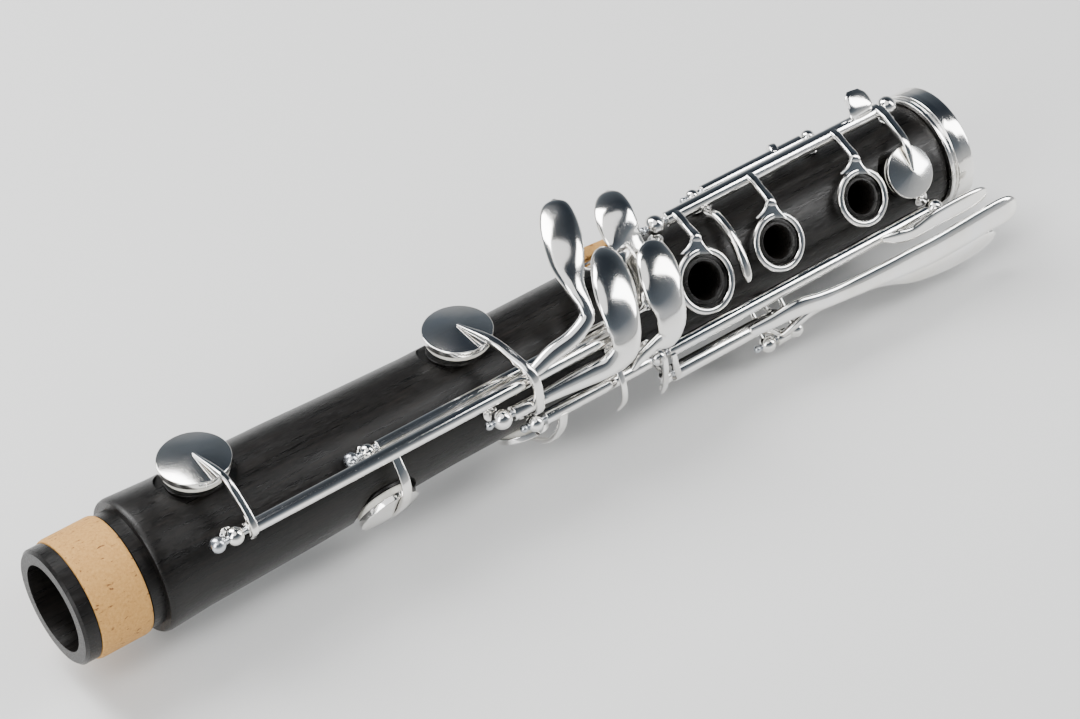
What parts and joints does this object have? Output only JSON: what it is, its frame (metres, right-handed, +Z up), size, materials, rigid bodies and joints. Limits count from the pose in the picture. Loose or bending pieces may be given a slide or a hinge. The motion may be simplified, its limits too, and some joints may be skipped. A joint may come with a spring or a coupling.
{
  "type": "clarinet lower joint",
  "caption": "Lower joint of a Boehm-system clarinet: tapered dark wood tube with ring key, pad cups, paddle touches, left-hand levers, socket ring and cork tenon.",
  "frame": {"origin": "centre of the upper socket mouth, on the bore axis, in the plane of the socket ring end face", "axes": "+X out of the socket along the bore; +Z up as the joint lies on a table, with the finger-hole line leaning 52.4 degrees from +Z towards -Y; +Y is the side of the little-finger paddles tips"},
  "size_m": [0.274, 0.0568, 0.0578],
  "materials": {
    "grenadilla": "oiled satin black wood with fine dark grain",
    "silver_plate": "polished silver plate",
    "steel": "turned steel",
    "blued_steel": "blued spring steel",
    "cork": "sanded natural cork with fine pores",
    "pad_skin": "pale pad skin"
  },
  "bodies": {
    "lower_joint": {"joint_body": "grenadilla", "socket_ring": "silver_plate", "tenon_cork": "cork", "ring_post_lower": "silver_plate", "ring_post_upper": "silver_plate", "sliver_post_lower": "silver_plate", "sliver_post_upper": "silver_plate", "low_e_post_lower": "silver_plate", "low_e_post_upper": "silver_plate", "low_f_post_lower": "silver_plate", "low_f_post_upper": "silver_plate", "f_sharp_post_lower": "silver_plate", "f_sharp_post_upper": "silver_plate", "a_flat_post_lower": "silver_plate", "left_hand_post_middle": "silver_plate", "left_hand_post_upper": "silver_plate", "lever_e_post_lower": "silver_plate", "lever_e_post_upper": "silver_plate", "lever_f_post_lower": "silver_plate", "lever_f_post_upper": "silver_plate", "ring_rod": "steel", "sliver_rod": "steel", "low_e_rod": "steel", "low_f_rod": "steel", "f_sharp_rod": "steel", "a_flat_rod": "steel", "left_hand_rod": "steel", "lever_e_rod": "steel", "lever_f_rod": "steel", "ring_spring": "blued_steel", "low_e_spring": "blued_steel", "low_f_spring": "blued_steel", "f_sharp_spring": "blued_steel", "thumb_rest": "silver_plate", "thumb_rest_screw_lower": "silver_plate", "thumb_rest_screw_upper": "silver_plate"},
    "ring_key_body": {"ring_key": "silver_plate", "ring_pad": "pad_skin"},
    "sliver_key_body": {"sliver_key": "silver_plate", "sliver_pad": "pad_skin"},
    "low_e_key_body": {"low_e_key": "silver_plate", "low_e_pad": "pad_skin"},
    "low_f_key_body": {"low_f_key": "silver_plate", "low_f_pad": "pad_skin", "crows_foot_cork": "cork"},
    "f_sharp_key_body": {"f_sharp_key": "silver_plate", "f_sharp_pad": "pad_skin"},
    "a_flat_key_body": {"a_flat_key": "silver_plate", "a_flat_pad": "pad_skin"},
    "lever_e_body": {"left_lever_e": "silver_plate"},
    "lever_f_sharp_body": {"left_lever_f_sharp": "silver_plate"},
    "lever_f_body": {"left_lever_f": "silver_plate"}
  },
  "joints": [
    {"name": "ring_key_hinge", "type": "hinge", "parent": "lower_joint", "child": "ring_key_body", "pos_m": [-0.055, 0.00272, 0.01911], "axis": [1, 0, 0], "range_deg": [0, 4.5], "stiffness_Nm_per_rad": 0.02, "springref_deg": -17.19},
    {"name": "sliver_key_hinge", "type": "hinge", "parent": "lower_joint", "child": "sliver_key_body", "pos_m": [-0.058, 0.00686, 0.0175], "axis": [1, 0, 0], "range_deg": [0, 5.5], "stiffness_Nm_per_rad": 0.02, "springref_deg": -17.19},
    {"name": "low_e_key_hinge", "type": "hinge", "parent": "lower_joint", "child": "low_e_key_body", "pos_m": [-0.17, -0.01668, 0.01276], "axis": [1, 0, 0], "range_deg": [-8.5, 0], "stiffness_Nm_per_rad": 0.02, "springref_deg": 17.19},
    {"name": "low_f_key_hinge", "type": "hinge", "parent": "lower_joint", "child": "low_f_key_body", "pos_m": [-0.14, -0.01875, 0.00697], "axis": [1, 0, 0], "range_deg": [-9, 0], "stiffness_Nm_per_rad": 0.02, "springref_deg": 17.19},
    {"name": "f_sharp_key_hinge", "type": "hinge", "parent": "lower_joint", "child": "f_sharp_key_body", "pos_m": [-0.15, -0.01242, 0.01204], "axis": [1, 0, 0], "range_deg": [-9, 0], "stiffness_Nm_per_rad": 0.02, "springref_deg": 17.19},
    {"name": "a_flat_key_hinge", "type": "hinge", "parent": "lower_joint", "child": "a_flat_key_body", "pos_m": [-0.128, -0.01997, 0.00119], "axis": [1, 0, 0], "range_deg": [-5, 0], "stiffness_Nm_per_rad": 0.02, "springref_deg": 17.19},
    {"name": "left_lever_e_hinge", "type": "hinge", "parent": "lower_joint", "child": "lever_e_body", "pos_m": [-0.09, -0.02009, -0.00707], "axis": [1, 0, 0], "range_deg": [-4.3, 0]},
    {"name": "left_lever_f_sharp_hinge", "type": "hinge", "parent": "lower_joint", "child": "lever_f_sharp_body", "pos_m": [-0.064, -0.01997, 0.00119], "axis": [1, 0, 0], "range_deg": [0, 4.5]},
    {"name": "left_lever_f_hinge", "type": "hinge", "parent": "lower_joint", "child": "lever_f_body", "pos_m": [-0.068, -0.01947, -0.01599], "axis": [1, 0, 0], "range_deg": [-3.2, 0]}
  ],
  "couplings": [
    {"joint": "left_lever_e_hinge", "follows": "low_e_key_hinge", "ratio": 0.5},
    {"joint": "left_lever_f_sharp_hinge", "follows": "f_sharp_key_hinge", "ratio": -0.5},
    {"joint": "left_lever_f_hinge", "follows": "low_f_key_hinge", "ratio": 0.35}
  ]
}
